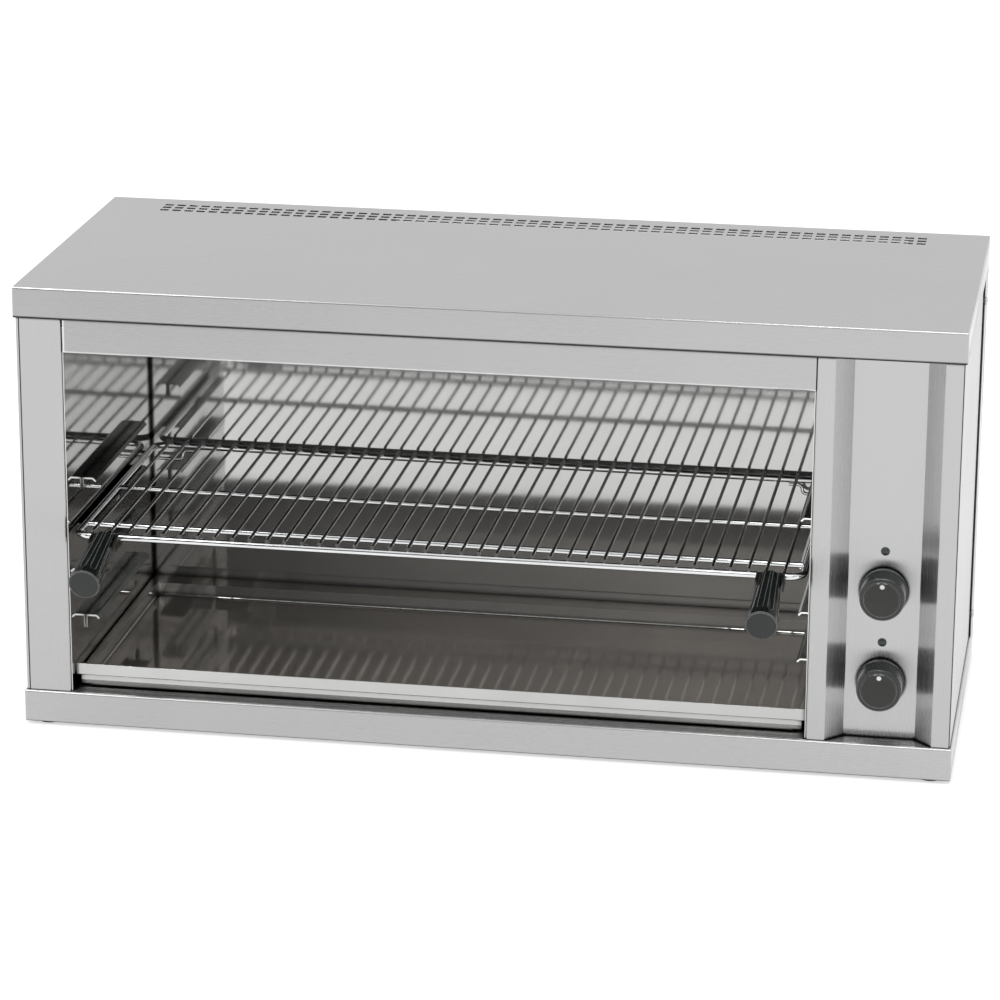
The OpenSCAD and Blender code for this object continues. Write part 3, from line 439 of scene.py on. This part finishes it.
# pieces that take the scorched colour with its painted shade
SCORCHED_AND_SHADED_NODES = ("chamber_ceiling", "element_hanger_left", "element_hanger_middle", "element_hanger_right",
                  "left_grip_bracket", "right_grip_bracket")
SIDE_LIT_TONE = 1.15            # the right side's sheet against the other uprights, lightened as painted light
WIRE_SHADE_TONE = 0.12          # what the painted shade leaves of the wire's colour on its top and front ends

BAND_FOOT_SHADE_WIDTH = 0.0030          # the lines that show on the casing's front: a painted shade line under the top band, dark joints, and painted highlights along the fascia's edges
POST_JOINT_WIDTH = 0.0010
POST_JOINT_INSET = 0.0030
COLUMN_JOINT_WIDTH = 0.0016
# pale lines along the fascia's foot and left end: painted highlights
FASCIA_FOOT_HIGHLIGHT_WIDTH = 0.0030
FASCIA_END_HIGHLIGHT_WIDTH = 0.0026


def make_node_finishes():
    """Finishes of single nodes: sheets whose tone is lighter or darker as painted light and shade, sheets
    with dark joint lines, a painted shade line and painted highlight lines, heat-scorched pieces darkened
    further as painted shade, and deck wires with painted shade.
    """
    low, high = {}, {}
    for name in ("top_cover", "top_fascia", "left_side_panel", "control_panel", "chamber_left_wall"):
        low[name], high[name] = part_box(name)
    # a dark line of painted shade along the foot of the top band's front
    band_foot_shade = ("Z", low["top_cover"].z, BAND_FOOT_SHADE_WIDTH, SEAM_DIRT_AND_SHADE)
    post_joint = ("X", low["left_side_panel"].x + POST_JOINT_INSET, POST_JOINT_WIDTH, SEAM_DIRT_AND_SHADE)
    column_joint = ("X", high["control_panel"].x, COLUMN_JOINT_WIDTH, SEAM_DIRT_AND_SHADE)
    # painted highlights along the fascia's foot and left end
    fascia_foot_highlight = ("Z", low["top_fascia"].z, FASCIA_FOOT_HIGHLIGHT_WIDTH, EDGE_HIGHLIGHT)
    fascia_end_highlight = ("X", low["top_fascia"].x, FASCIA_END_HIGHLIGHT_WIDTH, EDGE_HIGHLIGHT)
    wall_corner = high["chamber_left_wall"].x
    # heat scorch with painted shade
    scorched_and_shaded = oxidised_sheath("scorched_shaded_steel", SCORCHED_AND_SHADED)
    finishes = {name: scorched_and_shaded for name in SCORCHED_AND_SHADED_NODES}
    finishes["top_cover"] = brushed_steel("casing_steel_top", CASING, "X", [band_foot_shade])
    finishes["top_fascia"] = brushed_steel("casing_steel_fascia", CASING, "X", [fascia_foot_highlight, fascia_end_highlight])
    # uprights in the darker copy of the casing steel: painted shade
    finishes["left_side_panel"] = brushed_steel("casing_steel_post", UPRIGHT_SHADED, "Z", [post_joint])
    # the right side's sheet lightened: painted light
    finishes["right_side_panel"] = brushed_steel("casing_steel_side", shade(UPRIGHT_SHADED, SIDE_LIT_TONE), "Z")
    finishes["control_panel"] = brushed_steel("casing_steel_column", UPRIGHT_SHADED, "Z", [column_joint])
    finishes["chamber_back_wall"] = polished_steel("chamber_steel_brushed", CHAMBER, roughness=0.045,
                                                   haze=0.015, brushed=0.8, corner=wall_corner)
    # deck wires with painted shade on their tops and front ends
    finishes["shelf_deck_wires"] = bright_wire("wire_chrome_shaded", WIRE, roughness=0.05,
                                               wire_shade=shade(WIRE, WIRE_SHADE_TONE))
    return finishes


def dress():
    """Gives every CAD node its own finish, or else the finish of its material slot."""
    slot_finishes = {slot: make(slot, **look) for slot, (make, look) in SLOT_LOOKS.items()}
    node_finishes = make_node_finishes()
    for part in frame["record"]["subparts"]:
        node = frame["nodes"][part["node"]]
        node.data.materials.clear()
        node.data.materials.append(node_finishes.get(part["node"]) or slot_finishes[part["material_slot"]])


# ---------- Stage and light ----------

FLOOR_HALF = 20.0
FLOOR_TONE = (0.72, 0.72, 0.72)
FLOOR_GLOW = 0.60           # what the camera and a mirror see it give, over the light that falls on it
FLAG_DARK = (0.05, 0.05, 0.05)
FLAG_PALE = (0.72, 0.72, 0.72)
FLAG_FADE_START = -1.2      # along X, where the flag starts to turn from dark to pale
FLAG_FADE_END = -0.35
FLAG_PLACE = -4.2
FLAG_HALF = 4.0
FLAG_LOW = 0.1
FLAG_HIGH = 3.2
MATTE = 0.9
WHITE = (1, 1, 1, 1)
WORLD_LIGHT = 0.68
WORLD_SEEN = 1.0


def seen_directly(tree):
    """1 for what the camera sees, also in a mirror or through glass, and 0 for the light it gives."""
    path = tree.nodes.new("ShaderNodeLightPath")
    total = path.outputs["Is Camera Ray"]
    for name in ("Is Glossy Ray", "Is Transmission Ray"):
        node = tree.nodes.new("ShaderNodeMath")
        node.operation = "MAXIMUM"
        tree.links.new(total, node.inputs[0])
        tree.links.new(path.outputs[name], node.inputs[1])
        total = node.outputs["Value"]
    return total


def make_card(name, corners, finish):
    """A flat four-sided piece of the stage."""
    mesh = bpy.data.meshes.new(name)
    mesh.from_pydata(corners, [], [(0, 1, 2, 3)])
    mesh.materials.append(finish.material)
    card = bpy.data.objects.new(name, mesh)
    bpy.context.scene.collection.objects.link(card)
    return card


def make_floor():
    finish = Finish("pale_floor", FLOOR_TONE, roughness=MATTE)
    finish.set("Emission Color", WHITE)
    finish.plug(finish.math("MULTIPLY", seen_directly(finish.tree), FLOOR_GLOW), "Emission Strength")
    sides = ((-1, -1), (1, -1), (1, 1), (-1, 1))
    floor = make_card("floor", [(x * FLOOR_HALF, y * FLOOR_HALF, 0) for x, y in sides], finish)


def make_flag():
    """A card behind the camera, darker to the left, which polished steel needs to look like steel."""
    finish = Finish("dark_card", FLAG_DARK, roughness=MATTE)
    across = finish.component(finish.position(), "X")
    fade = finish.remap(across, 0, 1, FLAG_FADE_START, FLAG_FADE_END)
    finish.plug(finish.tint(fade, FLAG_DARK, FLAG_PALE), "Base Color")
    sides = ((-FLAG_HALF, FLAG_LOW), (FLAG_HALF, FLAG_LOW), (FLAG_HALF, FLAG_HIGH), (-FLAG_HALF, FLAG_HIGH))
    flag = make_card("flag", [(x, FLAG_PLACE, z) for x, z in sides], finish)
    flag.visible_camera = False
    flag.visible_diffuse = False
    flag.visible_shadow = False


def make_world():
    """White where it is seen, and plain light where it falls on the object."""
    world = bpy.data.worlds.new("studio")
    bpy.context.scene.world = world
    world.use_nodes = True
    tree = world.node_tree
    background = tree.nodes["Background"]
    background.inputs["Color"].default_value = WHITE
    node = tree.nodes.new("ShaderNodeMapRange")
    tree.links.new(seen_directly(tree), node.inputs["Value"])
    node.inputs["To Min"].default_value = WORLD_LIGHT
    node.inputs["To Max"].default_value = WORLD_SEEN
    tree.links.new(node.outputs["Result"], background.inputs["Strength"])


def make_lamp(name, kind, place, target, energy, **settings):
    data = bpy.data.lights.new(name, kind)
    data.energy = energy
    for key, value in settings.items():
        setattr(data, key, value)
    lamp = bpy.data.objects.new(name, data)
    bpy.context.scene.collection.objects.link(lamp)
    lamp.location = place
    lamp.rotation_mode = "QUATERNION"
    lamp.rotation_quaternion = (Vector(target) - Vector(place)).to_track_quat("-Z", "Y")


def make_lamps():
    make_lamp("key", "SUN", place=(-1.2, -2.1, 2.9), target=(0, 0, 0), energy=0.4, angle=math.radians(12))
    make_lamp("high_softbox", "AREA", place=(0.5, -2.0, 2.4), target=(0, 0, 0.2), energy=16,
              shape="RECTANGLE", size=1.3, size_y=0.5)


# ---------- The scene ----------

make_camera()
make_world()
make_floor()
make_flag()
make_lamps()
dress()

bpy.context.scene.view_settings.view_transform = "Standard"
